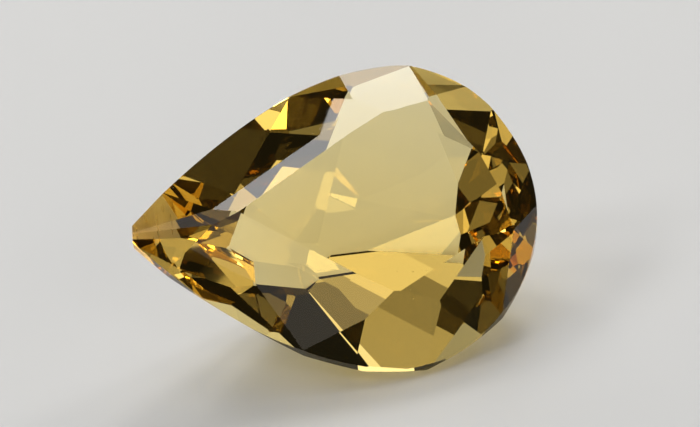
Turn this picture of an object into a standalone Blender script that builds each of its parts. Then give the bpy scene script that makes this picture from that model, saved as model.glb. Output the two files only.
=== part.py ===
"""A heliodor: one clear golden-yellow beryl, cut as a pear-shaped brilliant.

The stone is made in the order in which a cutter makes it. A pear-shaped blank is extruded from
the girdle outline, and each flat facet is then one straight cut through the blank. The table and
the crown are cut first and the pavilion last. The finished stone is then laid down the way it lies
on a flat surface, leaning on one of its pavilion facets.

While it is cut, the stone stands in its cutting frame: the tip points to -X, the round head to
+X, the table looks along +Z, and the middle of the girdle is at z = 0. Both halves are alike, so
each facet is set out for the +Y half and mirrored. Lengths are in metres and angles in degrees.
"""

import math

import bmesh
import bpy
from mathutils import Matrix, Vector

NAME = "heliodor"
MM = 0.001

# Girdle outline. The widest place is at x = 0: the tip lies to its left and the head to its right.
TIP_LENGTH = 8.20 * MM
HEAD_LENGTH = 4.15 * MM
HALF_WIDTH = 5.05 * MM
WING_POWER = 1.84
HEAD_POWER = 1.90
TIP_BLUNTING = 0.25 * MM
GIRDLE_THICKNESS = 0.38 * MM
WING_STEPS = 34
HEAD_STEPS = 26

# Crown.
CROWN_HEIGHT = 1.00 * MM
# The main facets, from the tip round to the head: their stations on the outline, where 0 is the
# tip, 1 the widest place and 2 the head, and the turn of each away from the outline's normal.
MAIN_STATIONS = (0.00, 0.63, 1.10, 1.51, 2.00)
CROWN_TURNS = (0.0, 8.0, 17.0, 3.5, 0.0)
# Between the mains the girdle facets come in pairs, and each pair is split at a station.
SPLIT_STATIONS = (0.15, 0.84, 1.38, 1.81)
# The table's corners, one for each main facet, as x and y in mm.
TABLE_CORNERS = ((-4.70, 0.0), (-1.25, 2.35), (-0.10, 3.05), (2.55, 1.40), (3.15, 0.0))
# The slope of the star facets, which lie between the mains and touch the table with their base.
STAR_SLOPES = (19.0, 19.5, 9.0, 22.0)
# The wing main doesn't reach the table: its upper tip lies on the edge between two stars, this far
# below the table.
WING_TIP_DROP = 0.21 * MM

# Pavilion. Each main is cut twice: a steep upper cut from the girdle, and a shallower lower cut,
# which is set by its distance from the middle of the girdle plane.
PAVILION_TURNS = (0.0, -1.0, -1.0, 18.0, 0.0)
UPPER_SLOPES = (39.0, 47.5, 38.0, 47.5, 52.5)
LOWER_SLOPES = (26.0, 42.0, 30.5, 23.5, 20.0)
LOWER_DEPTHS = (4.95, 4.10, 4.20, 4.25, 3.65)
# The paired facets just under the girdle.
GIRDLE_PAIR_SLOPES = (56.5, 55.0, 63.5, 52.5)

# The pavilion cut on the -Y side that the stone lies on, counted as in pavilion_cuts.
RESTING_CUT = 2

# Two cuts that meet in a point share it to within this distance.
MEET = 2e-7


def outline_point(station):
    """A point of the girdle outline on the +Y side, as x and y."""
    if station <= 1.0:
        reach = 1.0 - station
        return Vector((-TIP_LENGTH * reach, HALF_WIDTH * (1.0 - reach ** WING_POWER)))
    angle = (station - 1.0) * math.pi / 2.0
    power = 2.0 / HEAD_POWER
    sine = max(math.sin(angle), 0.0) ** power
    cosine = max(math.cos(angle), 0.0) ** power
    return Vector((HEAD_LENGTH * sine, HALF_WIDTH * cosine))


def facing(station, turn):
    """The horizontal direction in which a facet at a station of the outline looks."""
    if station in (0.0, 2.0):
        return Vector((station - 1.0, 0.0))
    step = 1e-4
    along = outline_point(station + step) - outline_point(station - step)
    normal = Vector((-along.y, along.x)).normalized()
    return Matrix.Rotation(math.radians(turn), 2) @ normal


class Cut:
    """One flat cut: a point on the facet and the direction in which the facet looks."""

    def __init__(self, point, normal):
        self.point = Vector(point)
        self.normal = Vector(normal).normalized()

    def mirrored(self):
        """The same cut on the -Y half."""
        flip = Vector((1.0, -1.0, 1.0))
        return Cut(self.point * flip, self.normal * flip)


def cut_at_slope(point, direction, slope, side):
    """A cut through a point, sloping down to a horizontal direction; side is 1 above, -1 below."""
    angle = math.radians(slope)
    flat = direction * math.sin(angle)
    return Cut(point, (flat.x, flat.y, side * math.cos(angle)))


def cut_through_corner(girdle, direction, corner):
    """The cut through a girdle point and a table corner that looks in a horizontal direction."""
    run = (corner - girdle).xy.dot(direction)
    rise = corner.z - girdle.z
    return Cut(girdle, (direction.x * rise, direction.y * rise, -run))


def cut_through_points(first, second, third, side):
    """The cut through three points, looking up if side is 1 and down if side is -1."""
    normal = (second - first).cross(third - first)
    if normal.z * side < 0.0:
        normal.negate()
    return Cut(first, normal)


def meet_point(first, second, third):
    """The point that three cuts share."""
    rows = Matrix((first.normal, second.normal, third.normal))
    cuts = (first, second, third)
    reach = Vector([cut.normal.dot(cut.point) for cut in cuts])
    return rows.inverted() @ reach


def away_from_middle(start, end):
    """The horizontal direction square to a line between two points, away from the stone's middle."""
    along = (end - start).xy
    square = Vector((-along.y, along.x)).normalized()
    if square.dot((start + end).xy) < 0.0:
        square.negate()
    return square


def girdle_points(stations, height):
    """Points of the outline at a height."""
    return [outline_point(station).to_3d() + Vector((0.0, 0.0, height)) for station in stations]


def main_directions(turns):
    """The directions in which the main facets look, with these turns from the outline's normal."""
    return [facing(station, turn) for station, turn in zip(MAIN_STATIONS, turns)]


def down_the_edge(corner, first, second, drop):
    """The point of the edge between two cuts that lies below a corner of it by a drop."""
    edge = first.normal.cross(second.normal)
    return corner - edge * (drop / edge.z)


def crown_cuts():
    """The mains, the stars between them and the paired facets above the girdle."""
    rim = GIRDLE_THICKNESS / 2.0
    table = rim + CROWN_HEIGHT
    corners = [Vector((x * MM, y * MM, table)) for x, y in TABLE_CORNERS]
    tops = girdle_points(MAIN_STATIONS, rim)
    splits = girdle_points(SPLIT_STATIONS, rim)
    stars = []
    for start, end, slope in zip(corners, corners[1:], STAR_SLOPES):
        stars.append(cut_at_slope(start, away_from_middle(start, end), slope, 1))
    tips = list(corners)
    tips[1] = down_the_edge(corners[1], stars[0], stars[1], WING_TIP_DROP)
    mains = []
    for girdle, direction, tip in zip(tops, main_directions(CROWN_TURNS), tips):
        mains.append(cut_through_corner(girdle, direction, tip))
    cuts = mains + stars
    for index, star in enumerate(stars):
        meet = meet_point(mains[index], mains[index + 1], star)
        cuts.append(cut_through_points(meet, tops[index], splits[index], 1))
        cuts.append(cut_through_points(meet, splits[index], tops[index + 1], 1))
    return cuts


def pavilion_cuts():
    """The upper and lower cuts of the mains and the paired facets below the girdle."""
    rim = -GIRDLE_THICKNESS / 2.0
    bottoms = girdle_points(MAIN_STATIONS, rim)
    splits = girdle_points(SPLIT_STATIONS, rim)
    directions = main_directions(PAVILION_TURNS)
    cuts = []
    for girdle, direction, slope in zip(bottoms, directions, UPPER_SLOPES):
        cuts.append(cut_at_slope(girdle, direction, slope, -1))
    for direction, slope, depth in zip(directions, LOWER_SLOPES, LOWER_DEPTHS):
        cut = cut_at_slope(Vector((0.0, 0.0, 0.0)), direction, slope, -1)
        cut.point = cut.normal * depth * MM
        cuts.append(cut)
    for index, slope in enumerate(GIRDLE_PAIR_SLOPES):
        middle = splits[index]
        for start, end in ((bottoms[index], middle), (middle, bottoms[index + 1])):
            cuts.append(cut_at_slope(start, away_from_middle(start, end), slope, -1))
    return cuts


def both_halves(cuts):
    """Every cut, with its mirror image wherever that is another plane."""
    result = []
    for cut in cuts:
        result.append(cut)
        if abs(cut.normal.y) > 1e-6:
            result.append(cut.mirrored())
    return result


def outline_loop():
    """The girdle outline all the way round, as x and y."""
    wing = [step / WING_STEPS for step in range(WING_STEPS)]
    head = [1.0 + step / HEAD_STEPS for step in range(HEAD_STEPS + 1)]
    half = [outline_point(station) for station in wing + head]
    other = [Vector((point.x, -point.y)) for point in reversed(half[1:-1])]
    return half + other


def pear_blank(bottom, top):
    """A pear-shaped prism between two heights, as a bmesh."""
    curve = bpy.data.curves.new("outline", "CURVE")
    curve.dimensions = "2D"
    curve.fill_mode = "BOTH"
    curve.extrude = (top - bottom) / 2.0
    loop = outline_loop()
    spline = curve.splines.new("POLY")
    spline.points.add(len(loop) - 1)
    for control, point in zip(spline.points, loop):
        control.co = (point.x, point.y, 0.0, 1.0)
    spline.use_cyclic_u = True
    guide = bpy.data.objects.new("outline", curve)
    bpy.context.scene.collection.objects.link(guide)
    evaluated = guide.evaluated_get(bpy.context.evaluated_depsgraph_get())
    mesh = bpy.data.meshes.new_from_object(evaluated)
    bm = bmesh.new()
    bm.from_mesh(mesh)
    bmesh.ops.remove_doubles(bm, verts=bm.verts, dist=MEET)
    bmesh.ops.translate(bm, verts=bm.verts, vec=(0.0, 0.0, (top + bottom) / 2.0))
    bpy.data.meshes.remove(mesh)
    bpy.data.objects.remove(guide)
    bpy.data.curves.remove(curve)
    return bm


def make_cut(bm, cut):
    """Take away what lies outside a cut and close the opening with one flat face."""
    parts = bm.verts[:] + bm.edges[:] + bm.faces[:]
    result = bmesh.ops.bisect_plane(
        bm, geom=parts, dist=MEET, plane_co=cut.point, plane_no=cut.normal, clear_outer=True
    )
    rim = [part for part in result["geom_cut"] if isinstance(part, bmesh.types.BMEdge)]
    open_rim = [edge for edge in rim if len(edge.link_faces) == 1]
    if open_rim:
        bmesh.ops.edgeloop_fill(bm, edges=open_rim)


def lying_on(cut):
    """The turn that lays a facet on the floor and the stone's length along X."""
    lean = cut.normal.rotation_difference(Vector((0.0, 0.0, -1.0))).to_matrix().to_4x4()
    length = lean @ Vector((1.0, 0.0, 0.0))
    return Matrix.Rotation(-math.atan2(length.y, length.x), 4, "Z") @ lean


def stand_on_floor(bm):
    """Move the stone so that it touches z = 0 and its bounding box is centred on the Z axis."""
    lows = [min(vertex.co[axis] for vertex in bm.verts) for axis in range(3)]
    highs = [max(vertex.co[axis] for vertex in bm.verts) for axis in range(3)]
    shift = Vector((-(lows[0] + highs[0]) / 2.0, -(lows[1] + highs[1]) / 2.0, -lows[2]))
    bmesh.ops.translate(bm, verts=bm.verts, vec=shift)


def beryl():
    """Clear golden-yellow beryl."""
    material = bpy.data.materials.new("golden_beryl")
    material.use_nodes = True
    shader = material.node_tree.nodes["Principled BSDF"]
    shader.inputs["Base Color"].default_value = (0.93, 0.80, 0.42, 1.0)
    shader.inputs["Roughness"].default_value = 0.02
    shader.inputs["Metallic"].default_value = 0.0
    shader.inputs["IOR"].default_value = 1.577
    shader.inputs["Transmission Weight"].default_value = 1.0
    return material


def cut_stone():
    """The finished stone as a bmesh, lying on the floor."""
    crown = crown_cuts()
    pavilion = pavilion_cuts()
    table_height = CROWN_HEIGHT + GIRDLE_THICKNESS / 2.0
    bm = pear_blank(-max(LOWER_DEPTHS) * 1.5 * MM, table_height + 0.5 * MM)
    make_cut(bm, Cut((-TIP_LENGTH + TIP_BLUNTING, 0.0, 0.0), (-1.0, 0.0, 0.0)))
    make_cut(bm, Cut((0.0, 0.0, table_height), (0.0, 0.0, 1.0)))
    for cut in both_halves(crown) + both_halves(pavilion):
        make_cut(bm, cut)
    bmesh.ops.dissolve_degenerate(bm, dist=MEET, edges=bm.edges)
    bmesh.ops.recalc_face_normals(bm, faces=bm.faces)
    bm.transform(lying_on(pavilion[RESTING_CUT].mirrored()))
    stand_on_floor(bm)
    return bm


def build():
    """Clear the scene and build the stone."""
    for obj in list(bpy.data.objects):
        bpy.data.objects.remove(obj)
    collection = bpy.data.collections.new(NAME)
    bpy.context.scene.collection.children.link(collection)
    bm = cut_stone()
    mesh = bpy.data.meshes.new(NAME)
    bm.to_mesh(mesh)
    bm.free()
    mesh.materials.append(beryl())
    stone = bpy.data.objects.new(NAME, mesh)
    collection.objects.link(stone)


build()
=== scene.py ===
# %% [markdown]
# # A heliodor on a pale surface
#
# The object is one faceted stone: golden-yellow beryl, cut as a pear-shaped brilliant. The cut
# itself comes from the CAD part. What makes it look like a stone is how light goes through it,
# so most of this lesson is about glass-like shading, the polish of the facets and the lights that
# they collect. The first cell loads the part, which stays where it is.

import math

import bmesh
import bpy
import numpy as np
from mathutils import Matrix, Vector


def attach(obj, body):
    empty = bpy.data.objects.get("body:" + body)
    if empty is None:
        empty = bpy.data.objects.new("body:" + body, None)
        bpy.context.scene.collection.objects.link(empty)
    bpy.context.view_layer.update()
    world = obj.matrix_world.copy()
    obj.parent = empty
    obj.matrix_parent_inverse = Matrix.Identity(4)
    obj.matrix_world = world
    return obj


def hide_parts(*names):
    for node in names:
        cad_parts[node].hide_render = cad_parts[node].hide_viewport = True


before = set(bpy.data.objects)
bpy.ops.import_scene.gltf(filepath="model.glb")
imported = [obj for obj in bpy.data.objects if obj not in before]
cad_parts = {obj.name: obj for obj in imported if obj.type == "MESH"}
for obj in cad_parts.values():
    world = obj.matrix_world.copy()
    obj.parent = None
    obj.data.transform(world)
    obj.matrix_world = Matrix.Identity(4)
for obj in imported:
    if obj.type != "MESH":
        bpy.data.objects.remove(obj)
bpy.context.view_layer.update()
stone_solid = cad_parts["heliodor"]
MM = 0.001

# %% [markdown]
# ## A small language for shader maths
#
# A material is a graph of nodes. Wiring dozens of Math nodes by hand hides what they compute, so
# one small class wraps a socket and overloads the operators that are used. Numbers go in as they
# are, and every operation adds one Math node. A vector has its own method, because a Math node
# would flatten it to a grey value.


# %% The socket class
class Wire:
    """A node socket that can be used in Python expressions."""

    def __init__(self, graph, socket):
        self.graph = graph
        self.socket = socket

    def math(self, operation, *values):
        """One Math node with this socket first."""
        return self.graph.node("ShaderNodeMath", {"operation": operation}, [self, *values])

    def __add__(self, other):
        return self.math("ADD", other)

    def __radd__(self, other):
        return self.math("ADD", other)

    def __rsub__(self, other):
        return self.graph.node("ShaderNodeMath", {"operation": "SUBTRACT"}, [other, self])

    def __mul__(self, other):
        return self.math("MULTIPLY", other)

    def __rmul__(self, other):
        return self.math("MULTIPLY", other)

    def above(self, threshold):
        """1 where the value is larger than the threshold, else 0."""
        return self.math("GREATER_THAN", threshold)

    def along(self, direction):
        """How far this vector reaches in a direction."""
        settings = {"operation": "DOT_PRODUCT"}
        return self.graph.node("ShaderNodeVectorMath", settings, [self, direction], "Value")


class Graph:
    """The node tree of one material, with a method that adds any node."""

    def __init__(self, material):
        material.use_nodes = True
        self.tree = material.node_tree
        self.tree.nodes.clear()

    def node(self, kind, settings=None, inputs=None, output=0):
        """Add a node, apply its settings, fill or link its inputs, and wrap one output."""
        made = self.tree.nodes.new(kind)
        for name, value in (settings or {}).items():
            setattr(made, name, value)
        pairs = inputs.items() if isinstance(inputs, dict) else enumerate(inputs or [])
        for key, value in pairs:
            if isinstance(value, Wire):
                self.tree.links.new(value.socket, made.inputs[key])
            else:
                made.inputs[key].default_value = value
        return Wire(self, made.outputs[output]) if made.outputs else made

    def place(self):
        """The place on the surface, in the row frame."""
        return self.node("ShaderNodeTexCoord", output="Object")

    def noise(self, place, scale, detail=2.0):
        """Soft noise with cells of about 1/scale metres."""
        inputs = {"Vector": place, "Scale": scale, "Detail": detail}
        return self.node("ShaderNodeTexNoise", inputs=inputs, output="Fac")


# %% [markdown]
# ## The facets
#
# The CAD part arrives as loose triangles. Light that passes through a stone shows every fold of
# its surface, so a copy is sewn together and the triangles that lie in one plane are joined
# again. Each facet is then one polygon, as the cutter made it. Smoothing or a subdivision surface
# would be wrong here: the planes have to stay flat and the edges between them sharp.

# %% Sew the triangles
MERGE_DISTANCE = 0.0001 * MM
FLAT_ANGLE = math.radians(0.02)


def sewn_copy(source):
    """A mesh with corners closer than a tenth of a micrometre merged and flat faces joined."""
    bm = bmesh.new()
    bm.from_mesh(source.data)
    bmesh.ops.remove_doubles(bm, verts=bm.verts, dist=MERGE_DISTANCE)
    bmesh.ops.dissolve_limit(bm, angle_limit=FLAT_ANGLE, verts=bm.verts, edges=bm.edges)
    return bm


facets = sewn_copy(stone_solid)
table = max(facets.faces, key=lambda face: face.calc_area())
stone_up = table.normal.copy()
print(len(facets.faces), "facets; the table looks towards", [round(v, 3) for v in stone_up])

# %% [markdown]
# ## Nicks on the girdle
#
# The girdle is the thin edge where a stone gets knocked. Each nick is one more tiny flat cut: a
# plane that looks outwards and a little up or down shaves about a hundredth of a millimetre off
# the sharp rim. A plane is enough because the stone bulges everywhere, so the cut stays small.

# %% Shave the nicks
# Each nick: its bearing round the stone and its rise, in degrees, and its depth in millimetres.
NICKS = (
    (-158.0, 24.0, 0.010),
    (-140.0, -30.0, 0.012),
    (-127.0, 20.0, 0.008),
    (-112.0, 27.0, 0.013),
    (-96.0, -28.0, 0.010),
    (-84.0, 22.0, 0.012),
    (-66.0, 25.0, 0.009),
    (-41.0, -26.0, 0.011),
    (-18.0, 21.0, 0.008),
    (52.0, 24.0, 0.011),
    (118.0, -27.0, 0.010),
)


def stone_axes(up):
    """Two directions in the girdle plane: lengthwise towards the head, and across."""
    across = up.cross(Vector((1.0, 0.0, 0.0))).normalized()
    return across.cross(up), across


def shave(bm, direction, depth):
    """Cut off what lies within a depth of the stone's furthest point in a direction."""
    furthest = max(vertex.co.dot(direction) for vertex in bm.verts)
    everything = bm.verts[:] + bm.edges[:] + bm.faces[:]
    made = bmesh.ops.bisect_plane(
        bm,
        geom=everything,
        dist=MERGE_DISTANCE,
        plane_co=direction * (furthest - depth),
        plane_no=direction,
        clear_outer=True,
    )
    rim = [part for part in made["geom_cut"] if isinstance(part, bmesh.types.BMEdge)]
    bmesh.ops.edgeloop_fill(bm, edges=[edge for edge in rim if len(edge.link_faces) == 1])


lengthwise, crosswise = stone_axes(stone_up)
for bearing, rise, depth in NICKS:
    turn, lift = math.radians(bearing), math.radians(rise)
    outwards = lengthwise * math.cos(turn) + crosswise * math.sin(turn)
    shave(facets, outwards * math.cos(lift) + stone_up * math.sin(lift), depth * MM)
bmesh.ops.recalc_face_normals(facets, faces=facets.faces)
print(len(facets.faces), "faces with the nicks")

# %% [markdown]
# ## One mesh, with the girdle marked
#
# The facets are polished and the girdle is ground, so the material has to know which is which. A
# number on each face says so: 1 on the girdle, whose faces stand square to the table, and 0
# elsewhere. One closed mesh with one material is also what keeps the colour inside right, since
# light has to leave the material that it entered.

# %% Make the stone
# A face stands square to the table where its normal leans less than this along the table's.
SQUARE_LEAN = 0.02


def stone_piece(name, bm, up):
    """The mesh as an object at the origin, with the girdle's faces marked."""
    mesh = bpy.data.meshes.new(name)
    bm.to_mesh(mesh)
    normals = np.empty(len(mesh.polygons) * 3)
    mesh.polygons.foreach_get("normal", normals)
    upright = np.abs(normals.reshape(-1, 3) @ np.array(up))
    ground = (upright < SQUARE_LEAN).astype(np.float32)
    mark = mesh.attributes.new("girdle", "FLOAT", "FACE")
    mark.data.foreach_set("value", ground)
    made = bpy.data.objects.new(name, mesh)
    bpy.context.scene.collection.objects.link(made)
    print(name, "has", int(ground.sum()), "girdle faces of", len(ground))
    return made


stone = stone_piece("heliodor_stone", facets, stone_up)
facets.free()
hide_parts("heliodor")
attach(stone, "root")

# %% [markdown]
# ## Golden beryl
#
# Beryl is clear, so its colour comes from what white light loses inside. A Principled shader with
# full transmission bends the light by the refractive index of beryl, 1.577. Part of the blue is
# lost at once, which the shader's own colour gives, and a Volume Absorption shader takes more of
# it on every millimetre. Long ways through the stone turn deep golden, and short ones stay pale.
#
# The polish is never perfect, so the roughness drifts a little from place to place, and a few
# specks are dull. The girdle is ground and not polished: it is rough, with fine grooves that run
# from the crown to the pavilion.

# %% The beryl material
BERYL_IOR = 1.577
SURFACE_TINT = (1.0, 0.95, 0.68, 1.0)
ABSORBED_COLOUR = (0.98, 0.887, 0.563, 1.0)
ABSORBED_PER_METRE = 300.0
# How rough the polish is at least, and how much the slow drift adds to it.
POLISH_ROUGHNESS = (0.002, 0.010)
POLISH_CELLS_PER_METRE = 900.0
# The same for the ground girdle, where the grooves add to it.
GROUND_ROUGHNESS = (0.16, 0.30)
GROOVES_PER_METRE = 9000.0
GROOVE_DEPTH = 0.004 * MM
# The share of the height that is taken out, so that a groove runs on upwards.
GROOVE_STRETCH = 0.94
# One cell in four has a speck, whose radius is given as a part of the cell's width.
SPECK_CELLS_PER_METRE = 1100.0
SPECK_RADIUS = 0.028
SPECK_CHOICE = 0.72
SPECK_ROUGHNESS = 0.35


def specks(graph, place):
    """1 on a few dull spots a twentieth of a millimetre across, 0 elsewhere."""
    inputs = {"Vector": place, "Scale": SPECK_CELLS_PER_METRE, "Randomness": 1.0}
    near = graph.node("ShaderNodeTexVoronoi", inputs=inputs, output="Distance")
    tint = graph.node("ShaderNodeTexVoronoi", inputs=inputs, output="Color")
    chosen = tint.along((1.0, 0.0, 0.0)).above(SPECK_CHOICE)
    return (1.0 - near.above(SPECK_RADIUS)) * chosen


def grooves(graph, place, up):
    """Noise that changes round the girdle but hardly from its upper to its lower edge."""
    scale, less = {"operation": "SCALE"}, {"operation": "SUBTRACT"}
    rise = graph.node("ShaderNodeVectorMath", scale, {0: up, "Scale": place.along(up)})
    most = graph.node("ShaderNodeVectorMath", scale, {0: rise, "Scale": GROOVE_STRETCH})
    squeezed = graph.node("ShaderNodeVectorMath", less, [place, most])
    return graph.noise(squeezed, GROOVES_PER_METRE, detail=3.0)


def golden_beryl(name, up):
    """Polished clear beryl, tinted at its surface and more with every millimetre inside."""
    material = bpy.data.materials.new(name)
    graph = Graph(material)
    place = graph.place()
    girdle = graph.node("ShaderNodeAttribute", {"attribute_name": "girdle"}, output="Fac")
    streaks = grooves(graph, place, up)
    finest, drift = POLISH_ROUGHNESS
    polish = finest + drift * graph.noise(place, POLISH_CELLS_PER_METRE)
    rough, rougher = GROUND_ROUGHNESS
    ground = girdle * (rough + rougher * streaks)
    relief = graph.node(
        "ShaderNodeBump",
        inputs={"Strength": 1.0, "Distance": GROOVE_DEPTH, "Height": girdle * streaks},
        output="Normal",
    )
    surface = graph.node(
        "ShaderNodeBsdfPrincipled",
        inputs={
            "Base Color": SURFACE_TINT,
            "Roughness": polish + ground + SPECK_ROUGHNESS * specks(graph, place),
            "IOR": BERYL_IOR,
            "Transmission Weight": 1.0,
            "Normal": relief,
        },
    )
    inside = graph.node(
        "ShaderNodeVolumeAbsorption",
        inputs={"Color": ABSORBED_COLOUR, "Density": ABSORBED_PER_METRE},
    )
    graph.node("ShaderNodeOutputMaterial", inputs={"Surface": surface, "Volume": inside})
    return material


stone.data.materials.append(golden_beryl("golden_beryl", stone_up))
print("beryl: refractive index", BERYL_IOR, "and absorption per metre", ABSORBED_PER_METRE)

# %% [markdown]
# ## The floor
#
# The stone lies on a matt pale surface. A large disc is enough: the camera looks down on it, so
# no horizon shows. It lies a fiftieth of a millimetre lower than the stone's resting facet, so
# that the two faces never share a plane.

# %% A pale floor
FLOOR_RADIUS = 1.5
FLOOR_HEIGHT = -0.02 * MM
FLOOR_GREY = (0.63, 0.625, 0.61, 1.0)
FLOOR_ROUGHNESS = 0.7


def disc(name, radius, height, rings=8, spokes=96):
    """A flat disc: points at ring radius r and angle a, with r growing from the middle."""
    angle = np.linspace(0.0, 2.0 * np.pi, spokes, endpoint=False)
    reach = np.linspace(0.0, radius, rings + 1)[1:]
    x = (reach[:, None] * np.cos(angle)).ravel()
    y = (reach[:, None] * np.sin(angle)).ravel()
    points = np.vstack([[0.0, 0.0, height], np.column_stack([x, y, np.full_like(x, height)])])
    around = np.arange(spokes)
    after = (around + 1) % spokes
    faces = np.column_stack([np.zeros(spokes, int), 1 + around, 1 + after]).tolist()
    for ring in range(rings - 1):
        low, high = 1 + ring * spokes, 1 + (ring + 1) * spokes
        quads = np.column_stack([low + around, high + around, high + after, low + after])
        faces += quads.tolist()
    mesh = bpy.data.meshes.new(name)
    mesh.from_pydata(points.tolist(), [], faces)
    made = bpy.data.objects.new(name, mesh)
    bpy.context.scene.collection.objects.link(made)
    return made


def pale_floor_finish():
    """Matt light grey."""
    material = bpy.data.materials.new("pale_floor")
    graph = Graph(material)
    inputs = {"Base Color": FLOOR_GREY, "Roughness": FLOOR_ROUGHNESS}
    surface = graph.node("ShaderNodeBsdfPrincipled", inputs=inputs)
    graph.node("ShaderNodeOutputMaterial", inputs={"Surface": surface})
    return material


floor = disc("floor", FLOOR_RADIUS, FLOOR_HEIGHT)
floor.data.materials.append(pale_floor_finish())

# %% [markdown]
# ## Light
#
# A faceted stone is a set of small mirrors and prisms, so it shows the whole room round it. An
# even white room would make it flat. It needs small bright soft sources with dark room between
# them. Each source here is a round soft box that looks at the stone, given by its bearing, its
# height above the floor, how wide it looks from the stone, and its brightness. The boxes are
# hidden from the camera, so that no view shows one behind the stone.

# %% Soft studio light
LIGHT_DISTANCE = 0.6
ROOM_GREY = 0.010
# Bearing, height and apparent radius in degrees, and the brightness of the box's face.
SOFT_BOXES = {
    "key": (66.1, 41.0, 8.0, 10.58),
    "front_low": (270.0, 8.0, 8.0, 9.61),
    "back_right": (32.7, 32.0, 8.0, 8.76),
    "back": (85.3, 36.0, 11.0, 4.31),
    "back_left": (152.0, 46.0, 8.0, 6.86),
    "back_left_low": (112.5, 8.0, 8.0, 6.00),
    "back_second": (110.2, 41.0, 8.0, 5.69),
    "left": (184.0, 46.0, 8.0, 5.69),
    "front_right": (296.8, 28.0, 8.0, 4.21),
    "back_right_high": (63.5, 61.0, 15.0, 1.13),
    "back_left_second": (117.6, 41.0, 8.0, 3.71),
    "back_low": (90.0, 20.0, 11.0, 1.57),
    "back_high": (106.0, 64.0, 6.0, 4.52),
    "front_low_second": (285.9, 12.0, 15.0, 0.68),
    "front_right_low": (331.4, 12.0, 8.0, 1.56),
    "overhead_back": (80.0, 82.0, 8.0, 1.53),
    "front_right_high": (332.3, 66.0, 8.0, 1.33),
    "front_right_second": (315.8, 28.0, 8.0, 0.99),
    "left_high": (197.4, 61.0, 8.0, 0.73),
    "back_left_low_second": (128.0, 16.0, 11.0, 0.38),
    "front_left_high": (235.4, 66.0, 8.0, 0.69),
    "front_left": (240.0, 46.0, 8.0, 0.46),
    "front": (277.7, 41.0, 11.0, 0.18),
    "front_left_high_second": (232.3, 61.0, 8.0, 0.27),
    "front_high": (255.5, 61.0, 8.0, 0.22),
}

world = bpy.data.worlds.new("studio")
bpy.context.scene.world = world
world.use_nodes = True
room = world.node_tree.nodes["Background"]
room.inputs["Color"].default_value = (1.0, 1.0, 1.0, 1.0)
room.inputs["Strength"].default_value = ROOM_GREY


def soft_box(name, bearing, height, spread, brightness):
    """A round area light that looks at the stone.

    Its radius is the distance times the tangent of its spread. A matt face of brightness L gives
    pi times L for each square metre, and its area is pi times the radius squared.
    """
    radius = LIGHT_DISTANCE * math.tan(math.radians(spread))
    light = bpy.data.lights.new(name, "AREA")
    light.shape = "DISK"
    light.size = 2.0 * radius
    light.energy = brightness * (math.pi * radius) ** 2
    made = bpy.data.objects.new(name, light)
    turn, rise = math.radians(bearing), math.radians(height)
    flat = math.cos(rise)
    offset = Vector((flat * math.cos(turn), flat * math.sin(turn), math.sin(rise)))
    made.location = offset * LIGHT_DISTANCE
    made.rotation_euler = (-offset).to_track_quat("-Z", "Y").to_euler()
    made.visible_camera = False
    bpy.context.scene.collection.objects.link(made)
    return made


for box_name, box in SOFT_BOXES.items():
    soft_box(box_name, *box)
print(len(SOFT_BOXES), "soft boxes")

# %% [markdown]
# ## How far light is followed
#
# Light goes round inside a faceted stone many times before it leaves, so the renderer follows it
# through more turns than usual. The picture is shown with the plain display curve, because a
# filmic one would grey the clear yellow.

# %% Light paths and display
render_settings = bpy.context.scene.cycles
render_settings.max_bounces = 24
render_settings.transmission_bounces = 20
render_settings.glossy_bounces = 12
render_settings.caustics_refractive = True
render_settings.caustics_reflective = True
render_settings.sample_clamp_indirect = 12.0
bpy.context.scene.view_settings.view_transform = "Standard"
bpy.context.scene.view_settings.look = "None"

# %% [markdown]
# ## The camera
#
# A long lens from about a quarter of a metre, as for close work: the stone is a few hundred
# pixels long and its perspective stays gentle.

# %% Camera
CAMERA_PLACE = (0.02532, -0.23291, 0.11636)
CAMERA_TARGET = (0.00051, 0.00007, 0.00365)
CAMERA_ROLL = -13.93
LENS_MM = 448.0

camera_data = bpy.data.cameras.new("camera")
camera_data.lens = LENS_MM
camera_data.sensor_width = 36.0
camera_data.clip_start = 0.01
camera_data.clip_end = 10.0
camera = bpy.data.objects.new("camera", camera_data)
aim = (Vector(CAMERA_TARGET) - Vector(CAMERA_PLACE)).to_track_quat("-Z", "Y").to_matrix()
turn = aim @ Matrix.Rotation(math.radians(CAMERA_ROLL), 3, "Z")
camera.matrix_world = Matrix.Translation(CAMERA_PLACE) @ turn.to_4x4()
bpy.context.scene.collection.objects.link(camera)
bpy.context.scene.camera = camera
